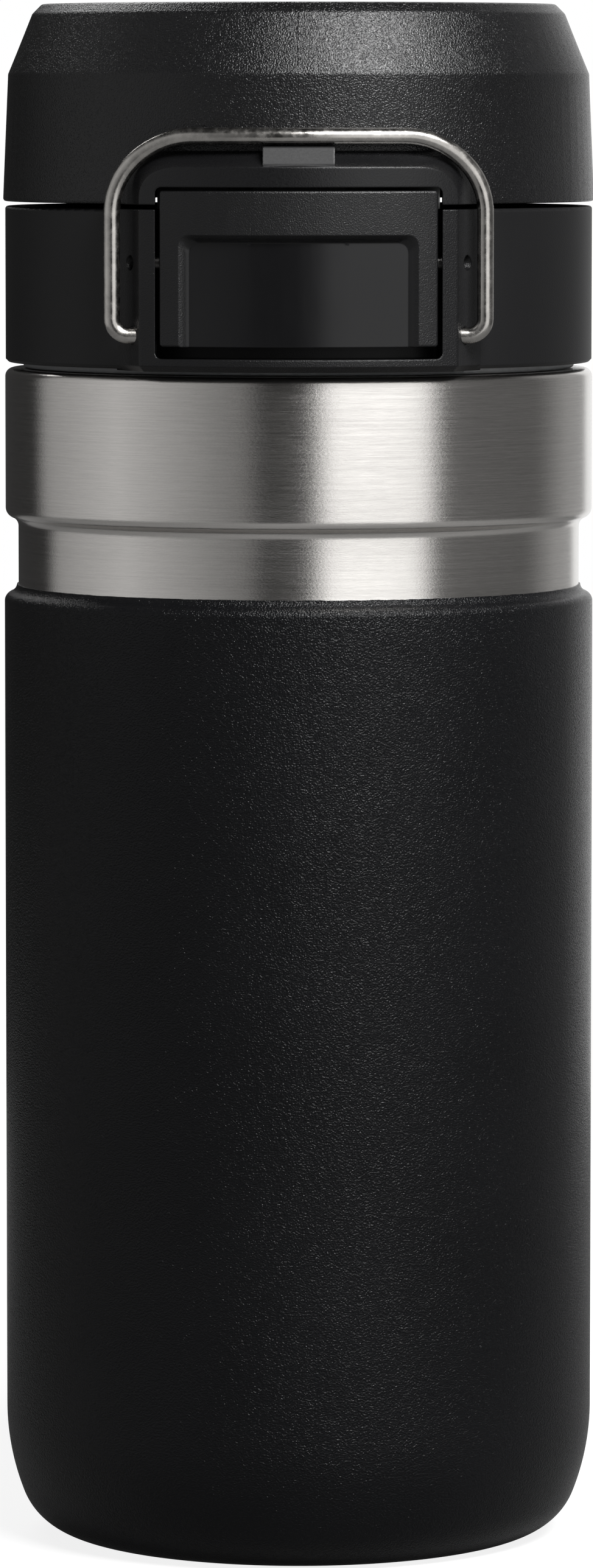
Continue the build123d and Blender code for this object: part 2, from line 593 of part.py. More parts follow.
def lid_block():
    """The lid's part of the front block, with round shoulders and a top that slopes back to the lid."""
    slant, face_y = block_slant()
    root_y = face_y + BLOCK_REACH
    root_half = BLOCK_HALF + slant * (root_y - face_y)
    low = LID_Z0 - 2 * BLOCK_CORNER_R
    rise = BROW_SLOPE * (BLOCK_R + root_y)
    plan = make_face(Polyline((-BLOCK_R, -2 * BLOCK_R), (BLOCK_R, -2 * BLOCK_R), (BLOCK_R, root_y),
                              (-BLOCK_R, root_y), close=True))
    tip_half, tip_y = BLOCK_HALF - slant * BLOCK_R, face_y - BLOCK_R
    plan &= make_face(Polyline((tip_half, tip_y), (root_half, root_y), (-root_half, root_y),
                               (-tip_half, tip_y), close=True))
    brow = revolve(Plane.XZ * make_face(Polyline(
        (0, low), (BLOCK_R, low), (BLOCK_R, BLOCK_Z1), (-root_y, BLOCK_Z1 + rise), (0, BLOCK_Z1 + rise),
        close=True)), Axis.Z, 360)
    slab = brow & Pos(0, 0, low) * extrude(plan, BLOCK_Z1 + rise - low)
    crests = [e for e in slab.edges() if e.geom_type == GeomType.HYPERBOLA and e.center().Y < root_y - EDGE]
    return fillet(crests, BLOCK_CORNER_R) - disc(2 * BLOCK_R, low - OVERCUT, LID_Z0)


def lug():
    """Nub under the bail's bar; its face leans back."""
    root_y = -lid_wall_r(BLOCK_Z1) + SINK
    nub = side_plate([(root_y, BLOCK_Z1 - SINK), (LUG_Y, BLOCK_Z1 - SINK), (LUG_Y, BLOCK_Z1 + EDGE),
                      (LUG_Y + LUG_LEAN, LUG_Z1), (root_y, LUG_Z1)], -LUG_HALF, LUG_HALF)
    return fillet(nub.edges().filter_by(Axis.X).group_by(Axis.Z)[-1].sort_by(Axis.Y)[0], EDGE)


def lid_knuckle():
    x0, x1 = KNUCKLE_X[:2]
    root_y, back_y = LID_R0 - LID_WALL - SINK, HINGE_Y + KNUCKLE_R
    high_z = HINGE_Z + LID_BOSS_H
    boss = side_plate([(root_y, HINGE_Z + HINGE_NOTCH_R), (root_y, high_z), (LID_R0 - SINK, high_z),
                       (back_y - EDGE, HINGE_Z + BOSS_STEP), (back_y, HINGE_Z), (HINGE_Y, HINGE_Z)], x0, x1)
    return boss + cross_rod(KNUCKLE_R, x0, x1, HINGE_Y, HINGE_Z)


def lid_shell():
    """Outer cap with its share of the front block, the bail's lug and two hinge knuckles."""
    inner = disc(LID_R0 - LID_WALL, LID_Z0 - OVERCUT, LID_TOP_Z)
    body = lid_cap() + (lid_block() - inner) + (lug() - inner)
    body -= front_window(OPEN_HALF, OPEN_Z0, OPEN_Z1, OPEN_CORNER_R)
    body -= hinge_notch(KNUCKLE_X[3] + EDGE)
    body += both_sides(lid_knuckle())
    return body - cross_rod(HINGE_PIN_R + FIT, -KNUCKLE_X[3], KNUCKLE_X[3], HINGE_Y, HINGE_Z)


def lid_liner():
    """Inner plate on four posts, the ring round the seal and the tongue that the button holds."""
    z0, z1 = LINER_PLATE_Z, LINER_PLATE_Z + LINER_PLATE_T
    plate_r = lid_wall_r(z1) - LID_WALL - 2 * SEAT_GAP
    ring_in = SPOUT_R + SEAL_RING_GAP
    body = disc(plate_r, z0, z1) + tube(ring_in + SEAL_RING_WALL, ring_in, z0 - SEAL_RING_DROP, z0 + SINK)
    for n in range(POST_COUNT):
        angle = math.radians(45 + n * 360 / POST_COUNT)
        body += disc(POST_R, z0 + SINK, LID_TOP_Z - LID_WALL,
                     POST_PITCH_R * math.cos(angle), POST_PITCH_R * math.sin(angle))
    tip_z = about_pin(CATCH_R, CATCH_TIP_Y)
    root_z = tip_z - CATCH_T - CATCH_LIP / 2
    low, high = tip_z - CATCH_LIP, tip_z + OVERCUT
    tongue = side_plate([(TONGUE_Y1, z1 - SINK), (TONGUE_Y1, root_z), (TONGUE_Y0, root_z),
                         (CATCH_TIP_Y, low), (CATCH_TIP_Y, high), (TONGUE_Y0, high),
                         (TONGUE_Y0, z1 - SINK)], -CATCH_HALF, CATCH_HALF)
    over = span_box(-CATCH_HALF, CATCH_HALF, CATCH_TIP_Y - OVERCUT, TONGUE_Y0, low, high)
    over -= cross_rod(CATCH_R, -CATCH_HALF, CATCH_HALF, BUTTON_PIN_Y, BUTTON_PIN_Z)
    return body + (tongue - over)


def lid_seal():
    """Silicone disc that shuts the spout."""
    seal_r = SPOUT_R + SEAL_RING_GAP - SEAT_GAP
    return disc(seal_r, LINER_PLATE_Z - SEAL_T, LINER_PLATE_Z)


def lock_bail():
    """Wire bail: two stubs in the block, two legs and a curved bar over the lug."""
    r = BAIL_BEND_R
    width, height = BAIL_CORNER
    bar_half = BAIL_LEG_X - width
    turn = math.asin(bar_half / BAIL_BAR_R)
    bar_end = Vector(bar_half, BAIL_BAR_Y + BAIL_BAR_R * (1 - math.cos(turn)), BAIL_BAR_Z)
    out = Vector(math.cos(turn), math.sin(turn), 0)
    reach = width / math.cos(turn)
    s = math.sqrt(0.5)
    low_r = (height * s - reach * (1 - s)) / (2 * s - 1)
    high_r = (reach * s - height * (1 - s)) / (2 * s - 1)
    up = Vector(0, 0, 1)
    leg_top = bar_end + out * reach - up * height
    knee = bar_end + out * (high_r * s) - up * (high_r * (1 - s))
    stub = Vector(BAIL_STUB_END, leg_top.Y, BAIL_PIVOT_Z)
    bend_in = Vector(BAIL_LEG_X - r, leg_top.Y, BAIL_PIVOT_Z)
    bend_out = Vector(BAIL_LEG_X, leg_top.Y, BAIL_PIVOT_Z + r)
    half = [Line(stub, bend_in), TangentArc(bend_in, bend_out, tangent=(1, 0, 0)), Line(bend_out, leg_top),
            TangentArc(leg_top, knee, tangent=up), TangentArc(bar_end, knee, tangent=out)]
    other = [mirror(line, Plane.YZ) for line in half]
    bar = ThreePointArc(Vector(-bar_end.X, bar_end.Y, bar_end.Z), (0, BAIL_BAR_Y, BAIL_BAR_Z), bar_end)
    path = Wire((Curve() + [*half, bar, *other]).edges())
    return sweep(Plane(origin=stub, z_dir=(1, 0, 0)) * Circle(BAIL_WIRE_R), path)


NODES = {
    "outer_shell": outer_shell,
    "base_cup": base_cup,
    "powder_coat": powder_coat,
    "inner_liner": inner_liner,
    "vacuum_seal": vacuum_seal,
    "base_disc": base_disc,
    "getter_clip": getter_clip,
    "getter": getter,
    "neck_gasket": neck_gasket,
    "threaded_core": threaded_core,
    "drinking_spout": drinking_spout,
    "collar_shell": collar_shell,
    "button_pin": button_pin,
    "hinge_pin": hinge_pin,
    "hinge_spring": hinge_spring,
    "button_spring": button_spring,
    "button": button,
    "lid_shell": lid_shell,
    "lid_liner": lid_liner,
    "lid_seal": lid_seal,
    "lock_bail": lock_bail,
}

os.makedirs("parts", exist_ok=True)
for node, make in NODES.items():
    export_step(Part() + make(), f"parts/{node}.step")
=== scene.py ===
"""Looks of the insulated travel mug: turned shells, springs, finishes, studio and camera, in metres."""

import math

import bpy
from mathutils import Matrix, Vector


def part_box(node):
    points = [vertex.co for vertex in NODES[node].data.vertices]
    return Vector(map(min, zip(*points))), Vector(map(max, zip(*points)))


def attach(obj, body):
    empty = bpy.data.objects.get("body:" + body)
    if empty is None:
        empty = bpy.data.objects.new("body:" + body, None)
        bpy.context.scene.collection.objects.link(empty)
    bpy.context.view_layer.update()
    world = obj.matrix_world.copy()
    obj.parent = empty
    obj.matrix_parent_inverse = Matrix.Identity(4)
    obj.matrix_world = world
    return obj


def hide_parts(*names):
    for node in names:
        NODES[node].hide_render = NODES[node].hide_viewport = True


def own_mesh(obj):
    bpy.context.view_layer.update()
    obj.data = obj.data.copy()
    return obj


MM = 0.001
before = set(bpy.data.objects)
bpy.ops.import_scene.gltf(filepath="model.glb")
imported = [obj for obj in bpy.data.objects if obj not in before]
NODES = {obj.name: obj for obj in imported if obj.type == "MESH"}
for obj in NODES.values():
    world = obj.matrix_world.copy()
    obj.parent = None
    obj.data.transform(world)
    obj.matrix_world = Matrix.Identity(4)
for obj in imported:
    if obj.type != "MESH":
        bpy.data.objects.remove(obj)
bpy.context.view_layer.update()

# ---- sizes read from the frame
LID_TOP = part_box("lid_shell")[1].z
BODY_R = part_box("powder_coat")[1].x
BAND_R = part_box("outer_shell")[1].x
BUTTON_R = -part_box("button")[0].y
SPRING_LOW, SPRING_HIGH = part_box("button_spring")
COIL_LOW, COIL_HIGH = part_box("hinge_spring")
LUG_HALF, LUG_FOOT = 4.3 * MM, 170.5 * MM

# grain sizes and heights of the moulded and coated skins
COAT_GRAIN, COAT_DEPTH = 0.22 * MM, 0.135 * MM
LID_GRAIN, LID_DEPTH = 0.2 * MM, 0.09 * MM
BLOCK_GRAIN, BLOCK_DEPTH = 0.16 * MM, 0.05 * MM
CORE_GRAIN, CORE_DEPTH = 0.25 * MM, 0.03 * MM
GRIT = 5000.0
MOULD_EDGE = 0.3 * MM


# ---- shader building blocks

class Finish:
    """A procedural material on a Principled shader, read from the object's own coordinates."""

    def __init__(self, name, **constants):
        self.material = bpy.data.materials.new(name)
        self.material.use_nodes = True
        self.tree = self.material.node_tree
        self.bsdf = self.tree.nodes["Principled BSDF"]
        for socket, value in constants.items():
            self.bsdf.inputs[socket.replace("_", " ")].default_value = value
        self.place = self.node("ShaderNodeTexCoord").outputs["Object"]

    def node(self, kind, **settings):
        made = self.tree.nodes.new(kind)
        for key, value in settings.items():
            setattr(made, key, value)
        return made

    def feed(self, value, socket):
        if isinstance(value, (int, float)):
            socket.default_value = value
        else:
            self.tree.links.new(value, socket)

    def math(self, operation, a, b=0.0):
        made = self.node("ShaderNodeMath", operation=operation)
        self.feed(a, made.inputs[0])
        self.feed(b, made.inputs[1])
        return made.outputs[0]

    def split(self, vector):
        made = self.node("ShaderNodeSeparateXYZ")
        self.feed(vector, made.inputs[0])
        return made.outputs

    def join(self, *parts):
        made = self.node("ShaderNodeCombineXYZ")
        for value, socket in zip(parts, made.inputs):
            self.feed(value, socket)
        return made.outputs[0]

    def radius(self):
        """Distance from the bottle's axis."""
        x, y, _ = self.split(self.place)
        return self.math("SQRT", self.math("ADD", self.math("MULTIPLY", x, x), self.math("MULTIPLY", y, y)))

    def unrolled(self):
        """The surface laid flat: length round the bottle from the front, distance from the axis, height."""
        x, y, z = self.split(self.place)
        turn = self.math("ARCTAN2", x, self.math("MULTIPLY", y, -1.0))
        return self.join(self.math("MULTIPLY", turn, BODY_R), self.radius(), z)

    def scaled(self, vector, scale):
        made = self.node("ShaderNodeMapping")
        made.inputs["Scale"].default_value = scale
        self.feed(vector, made.inputs["Vector"])
        return made.outputs[0]

    def noise(self, vector, scale, detail=2.0, roughness=0.5):
        made = self.node("ShaderNodeTexNoise")
        self.feed(vector, made.inputs["Vector"])
        made.inputs["Scale"].default_value = scale
        made.inputs["Detail"].default_value = detail
        made.inputs["Roughness"].default_value = roughness
        return made.outputs["Fac"]

    def ramp(self, value, start, end, low=0.0, high=1.0, smooth=False):
        made = self.node("ShaderNodeMapRange", interpolation_type="SMOOTHSTEP" if smooth else "LINEAR")
        for part, socket in zip((value, start, end, low, high), made.inputs):
            self.feed(part, socket)
        return made.outputs[0]

    def color(self, factor, low, high):
        made = self.node("ShaderNodeMix", data_type="RGBA")
        self.feed(factor, made.inputs["Factor"])
        made.inputs[6].default_value = (*low, 1)
        made.inputs[7].default_value = (*high, 1)
        self.feed(made.outputs[2], self.bsdf.inputs["Base Color"])

    def rough(self, value):
        self.feed(value, self.bsdf.inputs["Roughness"])

    def soft_edges(self, radius):
        """Moulded edges catch the light as if rounded."""
        made = self.node("ShaderNodeBevel", samples=6)
        made.inputs["Radius"].default_value = radius
        self.feed(made.outputs[0], self.bsdf.inputs["Normal"])

    def bump(self, height, depth):
        """Lays a height field, depth metres from low to high, over the bumps already there."""
        made = self.node("ShaderNodeBump")
        made.inputs["Distance"].default_value = depth
        self.feed(height, made.inputs["Height"])
        socket = self.bsdf.inputs["Normal"]
        if socket.is_linked:
            self.feed(socket.links[0].from_socket, made.inputs["Normal"])
        self.feed(made.outputs[0], socket)


def tint(color, share):
    return tuple(min(1.0, share * c) for c in color)


# ---- finishes

STEEL_TONE = (0.60, 0.582, 0.56)
COAT_TONE = (0.0028, 0.0029, 0.0033)
PLASTIC_TONE = (0.0036, 0.0036, 0.0039)


def brushed_steel(name, tone=STEEL_TONE, roughness=0.2):
    """Stainless steel brushed round the bottle: fine broken lines over longer faint bands."""
    f = Finish(name, Metallic=1.0, Anisotropic=0.75, Anisotropic_Rotation=0.25)
    flat = f.unrolled()
    hair = f.noise(f.scaled(flat, (420, 400, 15000)), 1.0, 3.0, 0.7)
    band = f.noise(f.scaled(flat, (40, 80, 4200)), 1.0, 2.0, 0.5)
    specks = f.noise(f.scaled(flat, (2600, 400, 9000)), 1.0, 2.0, 0.7)
    cloud = f.noise(f.place, 55.0, 2.0)
    lines = f.math("ADD", f.math("MULTIPLY", hair, 0.65), f.math("MULTIPLY", band, 0.35))
    mixed = f.math("ADD", f.math("MULTIPLY", lines, 0.8), f.math("MULTIPLY", cloud, 0.2))
    f.color(f.ramp(mixed, 0.36, 0.64), tint(tone, 0.88), tint(tone, 1.08))
    f.rough(f.ramp(lines, 0.35, 0.65, roughness * 0.85, roughness * 1.2))
    f.bump(hair, 0.004 * MM)
    f.bump(specks, 0.012 * MM)
    tangent = f.node("ShaderNodeTangent", direction_type="RADIAL", axis="Z")
    f.feed(tangent.outputs[0], f.bsdf.inputs["Tangent"])
    return f.material


def drawn_steel(name, tone=STEEL_TONE, roughness=0.2):
    """Wire and small pressings: faint die lines and handling marks."""
    f = Finish(name, Metallic=1.0)
    wear = f.noise(f.place, 900.0, 4.0, 0.65)
    cloud = f.noise(f.place, 160.0, 2.0)
    f.color(f.ramp(f.math("ADD", wear, cloud), 0.8, 1.2), tint(tone, 0.8), tint(tone, 1.1))
    f.rough(f.ramp(wear, 0.3, 0.7, roughness * 0.7, roughness * 1.5))
    f.bump(wear, 0.004 * MM)
    return f.material


def grain_layers(f, grain, depth, mask=1.0):
    """Coarse grains, about one grain across, with finer ones on them."""
    f.bump(f.math("MULTIPLY", f.noise(f.place, 1.0 / grain, 1.0), mask), depth)
    f.bump(f.math("MULTIPLY", f.noise(f.place, 2.4 / grain, 0.0), mask), 0.25 * depth)


def mottled(f, tone, spread=0.18, scale=45.0):
    f.color(f.ramp(f.noise(f.place, scale, 3.0), 0.3, 0.7), tint(tone, 1 - spread), tint(tone, 1 + spread))


def powder_coat():
    f = Finish("powder coat", Specular_IOR_Level=0.13)
    mottled(f, COAT_TONE)
    f.rough(f.ramp(f.noise(f.place, GRIT), 0.3, 0.7, 0.16, 0.26))
    grain_layers(f, COAT_GRAIN, COAT_DEPTH)
    return f.material


def lid_grain():
    """Coarse grain on the lid's side and crown, finer on its share of the front block."""
    f = Finish("lid grain", Specular_IOR_Level=0.27)
    x, y, z = f.split(f.place)
    block = f.math("MULTIPLY", f.ramp(f.radius(), BAND_R + 0.5 * MM, BAND_R + 1.1 * MM, smooth=True),
                   f.ramp(y, 0.0, -10 * MM))
    mottled(f, PLASTIC_TONE)
    f.soft_edges(MOULD_EDGE)
    on_lug = f.math("MULTIPLY", f.ramp(f.math("ABSOLUTE", x), LUG_HALF, LUG_HALF - 0.2 * MM),
                    f.math("MULTIPLY", f.ramp(f.radius(), BAND_R + 1.0 * MM, BAND_R + 1.3 * MM),
                           f.ramp(z, LUG_FOOT - 0.1 * MM, LUG_FOOT + 0.3 * MM)))
    skin = f.math("SUBTRACT", f.math("SUBTRACT", 1.0, f.math("MULTIPLY", block, 0.75)),
                  f.math("MULTIPLY", on_lug, 0.22))
    f.rough(f.math("ADD", f.ramp(f.noise(f.place, GRIT), 0.3, 0.7, 0.2, 0.3),
                   f.math("ADD", f.math("MULTIPLY", on_lug, 0.22), f.math("MULTIPLY", block, 0.05))))
    parting = f.math("MULTIPLY", f.ramp(f.math("ABSOLUTE", x), 0.05 * MM, 0.12 * MM, 1.0, 0.0),
                     f.ramp(f.radius(), BAND_R - 0.1 * MM, BAND_R + 0.3 * MM, 1.0, 0.0))
    grain_layers(f, LID_GRAIN, LID_DEPTH, skin)
    f.bump(parting, 0.03 * MM)
    return f.material


def collar_matte():
    """Even matte on the ring, a glossier fine grain on the raised block."""
    f = Finish("collar matte", Specular_IOR_Level=0.22)
    block = f.ramp(f.radius(), BAND_R + 0.1 * MM, BAND_R + 0.6 * MM, smooth=True)
    mottled(f, PLASTIC_TONE)
    f.rough(f.math("SUBTRACT", 0.5, f.math("MULTIPLY", block, 0.16)))
    f.soft_edges(MOULD_EDGE)
    grain_layers(f, BLOCK_GRAIN, BLOCK_DEPTH, f.math("ADD", 0.35, f.math("MULTIPLY", block, 0.65)))
    return f.material


def button_satin():
    """Fine grain on the button's face; the hollow's floor is smooth with faint rubbed marks."""
    f = Finish("button satin", Specular_IOR_Level=0.28)
    face = f.ramp(f.radius(), BUTTON_R - 0.8 * MM, BUTTON_R - 0.25 * MM, smooth=True)
    mottled(f, PLASTIC_TONE, 0.15, 60.0)
    rubbed = f.noise(f.scaled(f.place, (500, 500, 90)), 1.0, 3.0, 0.6)
    f.rough(f.math("ADD", f.ramp(rubbed, 0.3, 0.7, 0.17, 0.23), f.math("MULTIPLY", face, 0.16)))
    f.soft_edges(0.25 * MM)
    grain_layers(f, BLOCK_GRAIN, BLOCK_DEPTH, face)
    return f.material


def core_moulding():
    f = Finish("core moulding", Specular_IOR_Level=0.4)
    mottled(f, tint(PLASTIC_TONE, 1.3))
    f.rough(f.ramp(f.noise(f.place, 700.0, 3.0), 0.3, 0.7, 0.3, 0.4))
    f.soft_edges(0.2 * MM)
    grain_layers(f, CORE_GRAIN, CORE_DEPTH)
    return f.material


def grey_silicone():
    f = Finish("grey silicone", Specular_IOR_Level=0.4)
    dust = f.noise(f.place, 900.0, 3.0)
    f.color(f.ramp(dust, 0.3, 0.7), (0.20, 0.205, 0.21), (0.25, 0.255, 0.26))
    f.rough(f.ramp(dust, 0.3, 0.7, 0.45, 0.6))
    f.bump(dust, 0.01 * MM)
    return f.material


def glass_bead():
    f = Finish("glass bead", Transmission_Weight=0.6)
    swirl = f.noise(f.place, 700.0)
    f.color(f.ramp(swirl, 0.3, 0.7), (0.55, 0.60, 0.58), (0.70, 0.75, 0.72))
    f.rough(f.ramp(swirl, 0.3, 0.7, 0.05, 0.15))
    return f.material


def getter_pill():
    f = Finish("getter pill", Metallic=0.6)
    grit = f.noise(f.place, 2500.0, 3.0)
    f.color(f.ramp(grit, 0.3, 0.7), (0.10, 0.10, 0.11), (0.18, 0.18, 0.19))
    f.rough(f.ramp(grit, 0.3, 0.7, 0.6, 0.8))
    f.bump(grit, 0.03 * MM)
    return f.material


# ---- Geometry Nodes

class Tree:
    """A Geometry Nodes tree with named inputs, ending in one mesh with its finish."""

    def __init__(self, name, **inputs):
        self.tree = bpy.data.node_groups.new(name, "GeometryNodeTree")
        self.tree.interface.new_socket("Geometry", in_out="INPUT", socket_type="NodeSocketGeometry")
        for label, kind in inputs.items():
            kind = f"NodeSocket{kind}"
            self.tree.interface.new_socket(label.replace("_", " "), in_out="INPUT", socket_type=kind)
        self.tree.interface.new_socket("Finish", in_out="INPUT", socket_type="NodeSocketMaterial")
        self.tree.interface.new_socket("Mesh", in_out="OUTPUT", socket_type="NodeSocketGeometry")
        self.given = self.tree.nodes.new("NodeGroupInput").outputs

    def node(self, kind, **settings):
        made = self.tree.nodes.new(kind)
        for key, value in settings.items():
            setattr(made, key, value)
        return made

    def link(self, source, target):
        self.tree.links.new(source, target)

    def math(self, operation, a, b=0.0):
        made = self.node("ShaderNodeMath", operation=operation)
        for value, socket in zip((a, b), made.inputs):
            if isinstance(value, (int, float)):
                socket.default_value = value
            else:
                self.link(value, socket)
        return made.outputs[0]

    def end(self, geometry):
        real = self.node("GeometryNodeRealizeInstances")
        paint = self.node("GeometryNodeSetMaterial")
        out = self.node("NodeGroupOutput")
        self.link(geometry, real.inputs["Geometry"])
        self.link(real.outputs["Geometry"], paint.inputs["Geometry"])
        self.link(self.given["Finish"], paint.inputs["Material"])
        self.link(paint.outputs["Geometry"], out.inputs["Mesh"])
        return self.tree


def grow(name, source, tree, finish, **values):
    """Runs a tree on a curve or mesh and returns its plain mesh as a new object."""
    seed = bpy.data.objects.new(f"{name}_seed", source)
    bpy.context.scene.collection.objects.link(seed)
    modifier = seed.modifiers.new(name, "NODES")
    modifier.node_group = tree
    ids = {item.name: item.identifier for item in tree.interface.items_tree if item.in_out == "INPUT"}
    modifier[ids["Finish"]] = finish
    for label, value in values.items():
        modifier[ids[label.replace("_", " ")]] = value
    graph = bpy.context.evaluated_depsgraph_get()
    mesh = bpy.data.meshes.new_from_object(seed.evaluated_get(graph))
    mesh.name = name
    made = bpy.data.objects.new(name, mesh)
    bpy.context.scene.collection.objects.link(made)
    bpy.data.objects.remove(seed)
    return made


def turned_tree():
    """A closed outline spun round the bottle's axis; the coat's end can be ragged."""
    t = Tree("turned shell", Spine="Float", Facets="Int", Ragged_Above="Float", Ragged="Float", Seed="Float")
    circle = t.node("GeometryNodeCurvePrimitiveCircle")
    t.link(t.given["Spine"], circle.inputs["Radius"])
    t.link(t.given["Facets"], circle.inputs["Resolution"])
    spin = t.node("GeometryNodeCurveToMesh")
    t.link(circle.outputs["Curve"], spin.inputs["Curve"])
    t.link(t.given["Geometry"], spin.inputs["Profile Curve"])
    place = t.node("GeometryNodeInputPosition")
    part = t.node("ShaderNodeSeparateXYZ")
    t.link(place.outputs[0], part.inputs[0])
    noise = t.node("ShaderNodeTexNoise", noise_dimensions="4D")
    noise.inputs["Scale"].default_value = 900.0
    noise.inputs["Detail"].default_value = 3.0
    t.link(place.outputs[0], noise.inputs["Vector"])
    t.link(t.given["Seed"], noise.inputs["W"])
    at_end = t.math("GREATER_THAN", part.outputs["Z"], t.given["Ragged Above"])
    drop = t.math("MULTIPLY", t.math("MULTIPLY", noise.outputs[0], t.given["Ragged"]), at_end)
    down = t.node("ShaderNodeCombineXYZ")
    t.link(t.math("MULTIPLY", drop, -1.0), down.inputs["Z"])
    move = t.node("GeometryNodeSetPosition")
    t.link(spin.outputs["Mesh"], move.inputs["Geometry"])
    t.link(down.outputs[0], move.inputs["Offset"])
    smooth = t.node("GeometryNodeSetShadeSmooth")
    t.link(move.outputs["Geometry"], smooth.inputs["Geometry"])
    return t.end(smooth.outputs["Geometry"])


def outline_curve(points, spine):
    """Closed outline from (radius, height) pairs, set out for the spin."""
    curve = bpy.data.curves.new("outline", "CURVE")
    curve.dimensions = "3D"
    spline = curve.splines.new("POLY")
    spline.points.add(len(points) - 1)
    for point, (r, z) in zip(spline.points, points):
        point.co = (r - spine, -z, 0, 1)
    spline.use_cyclic_u = True
    return curve


def arc(centre, radius, start, end, steps):
    """Points of an arc in (radius, height), angles in degrees from straight out, upwards."""
    turns = [math.radians(start + (end - start) * n / steps) for n in range(steps + 1)]
    return [(centre[0] + radius * math.cos(a), centre[1] + radius * math.sin(a)) for a in turns]


def s_bend(low, high, steps=10):
    """Two equal arcs between two upright stretches."""
    dr, dz = high[0] - low[0], high[1] - low[1]
    radius = (dr * dr + dz * dz) / (4 * abs(dr))
    sweep = math.degrees(math.asin(min(1.0, dz / (2 * radius))))
    side = 1 if dr > 0 else -1
    if side > 0:
        first = arc((low[0] + radius, low[1]), radius, 180, 180 - sweep, steps)
        second = arc((high[0] - radius, high[1]), radius, -sweep, 0, steps)
    else:
        first = arc((low[0] - radius, low[1]), radius, 0, sweep, steps)
        second = arc((high[0] + radius, high[1]), radius, 180 + sweep, 180, steps)
    return first + second[1:]


def mm(points):
    return [(r * MM, z * MM) for r, z in points]


# the bottle's outside, in millimetres, as in the CAD
BODY, COAT, WALL = 36.5, 0.2, 0.6
BASE_BAND, BASE_ARC, HEEL = 16.0, 30.0, 8.0
SHOULDER, COAT_END = 116.5, 118.7
NECK, BAND, BAND_FROM, BAND_TO, RIM, RIM_ROUND = 34.78, 36.36, 125.8, 128.1, 145.4, 1.0
COAT_FOOT = 14.0


def base_curves(depth, end):
    """The heel's tight curve from end degrees up, then the long base curve, depth inside the body's skin."""
    long_centre = (BODY - BASE_ARC, BASE_BAND)
    reach, drop = BASE_ARC - HEEL, BASE_BAND - HEEL
    heel_centre = (long_centre[0] + math.sqrt(reach * reach - drop * drop), HEEL)
    weld = math.degrees(math.atan2(heel_centre[1] - long_centre[1], heel_centre[0] - long_centre[0]))
    heel = arc(heel_centre, HEEL - depth, end - 90, weld, 20)
    return heel, arc(long_centre, BASE_ARC - depth, weld, 0, 24)


def rows(low, high, step=4.0):
    """Extra rings on an upright stretch, so that its facets stay near square."""
    count = max(1, round((high[1] - low[1]) / step))
    return [(low[0] + (high[0] - low[0]) * n / count, low[1] + (high[1] - low[1]) * n / count)
            for n in range(1, count)]


def coat_outline():
    sides = []
    for depth in (0, COAT):
        heel, base = base_curves(depth, COAT_FOOT)
        top, end = (BODY - depth, SHOULDER), (NECK + COAT - depth, COAT_END)
        sides.append(heel + base[1:] + rows(base[-1], top) + s_bend(top, end))
    return mm(sides[0] + sides[1][::-1])


def shell_outline():
    outer_base = base_curves(COAT, COAT_FOOT)[1]
    neck, band = (NECK, COAT_END), (BAND, RIM - RIM_ROUND)
    body_top = (BODY - COAT, SHOULDER)
    outer = outer_base + rows(outer_base[-1], body_top) + s_bend(body_top, neck)
    outer += s_bend((NECK, BAND_FROM), (BAND, BAND_TO)) + rows((BAND, BAND_TO), band)
    outer += arc((BAND - RIM_ROUND, RIM - RIM_ROUND), RIM_ROUND, 0, 90, 8) + [(32.9, RIM), (32.9, RIM - WALL)]
    inner_base = base_curves(COAT + WALL, COAT_FOOT)[1]
    low = WALL / 2
    inner = inner_base + s_bend((BODY - COAT - WALL, SHOULDER - low), (NECK - WALL, COAT_END - low))
    inner += s_bend((NECK - WALL, BAND_FROM + low), (BAND - WALL, BAND_TO + low))
    inner += arc((BAND - RIM_ROUND, RIM - RIM_ROUND), RIM_ROUND - WALL, 0, 90, 4)
    return mm(outer + inner[::-1])


def turned_shells():
    """The steel shell and its coat, spun finely enough for clean reflections."""
    tree = turned_tree()
    spine = 30 * MM
    facets, coat_facets = 288, 432
    shell = grow("steel_shell", outline_curve(shell_outline(), spine), tree, brushed_steel("brushed steel"),
                 Spine=spine, Facets=facets, Ragged_Above=1.0, Ragged=0.0, Seed=0.0)
    coat = grow("coat_skin", outline_curve(coat_outline(), spine), tree, powder_coat(),
                Spine=spine, Facets=coat_facets, Ragged_Above=(COAT_END - 0.12) * MM, Ragged=0.22 * MM,
                Seed=3.0)
    for piece, node, slot in ((shell, "outer_shell", "steel_shell"), (coat, "powder_coat", "powder_coat")):
        mesh = piece.data
        mesh.set_sharp_from_angle(angle=math.radians(35))
        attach(piece, "bottle")
        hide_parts(node)


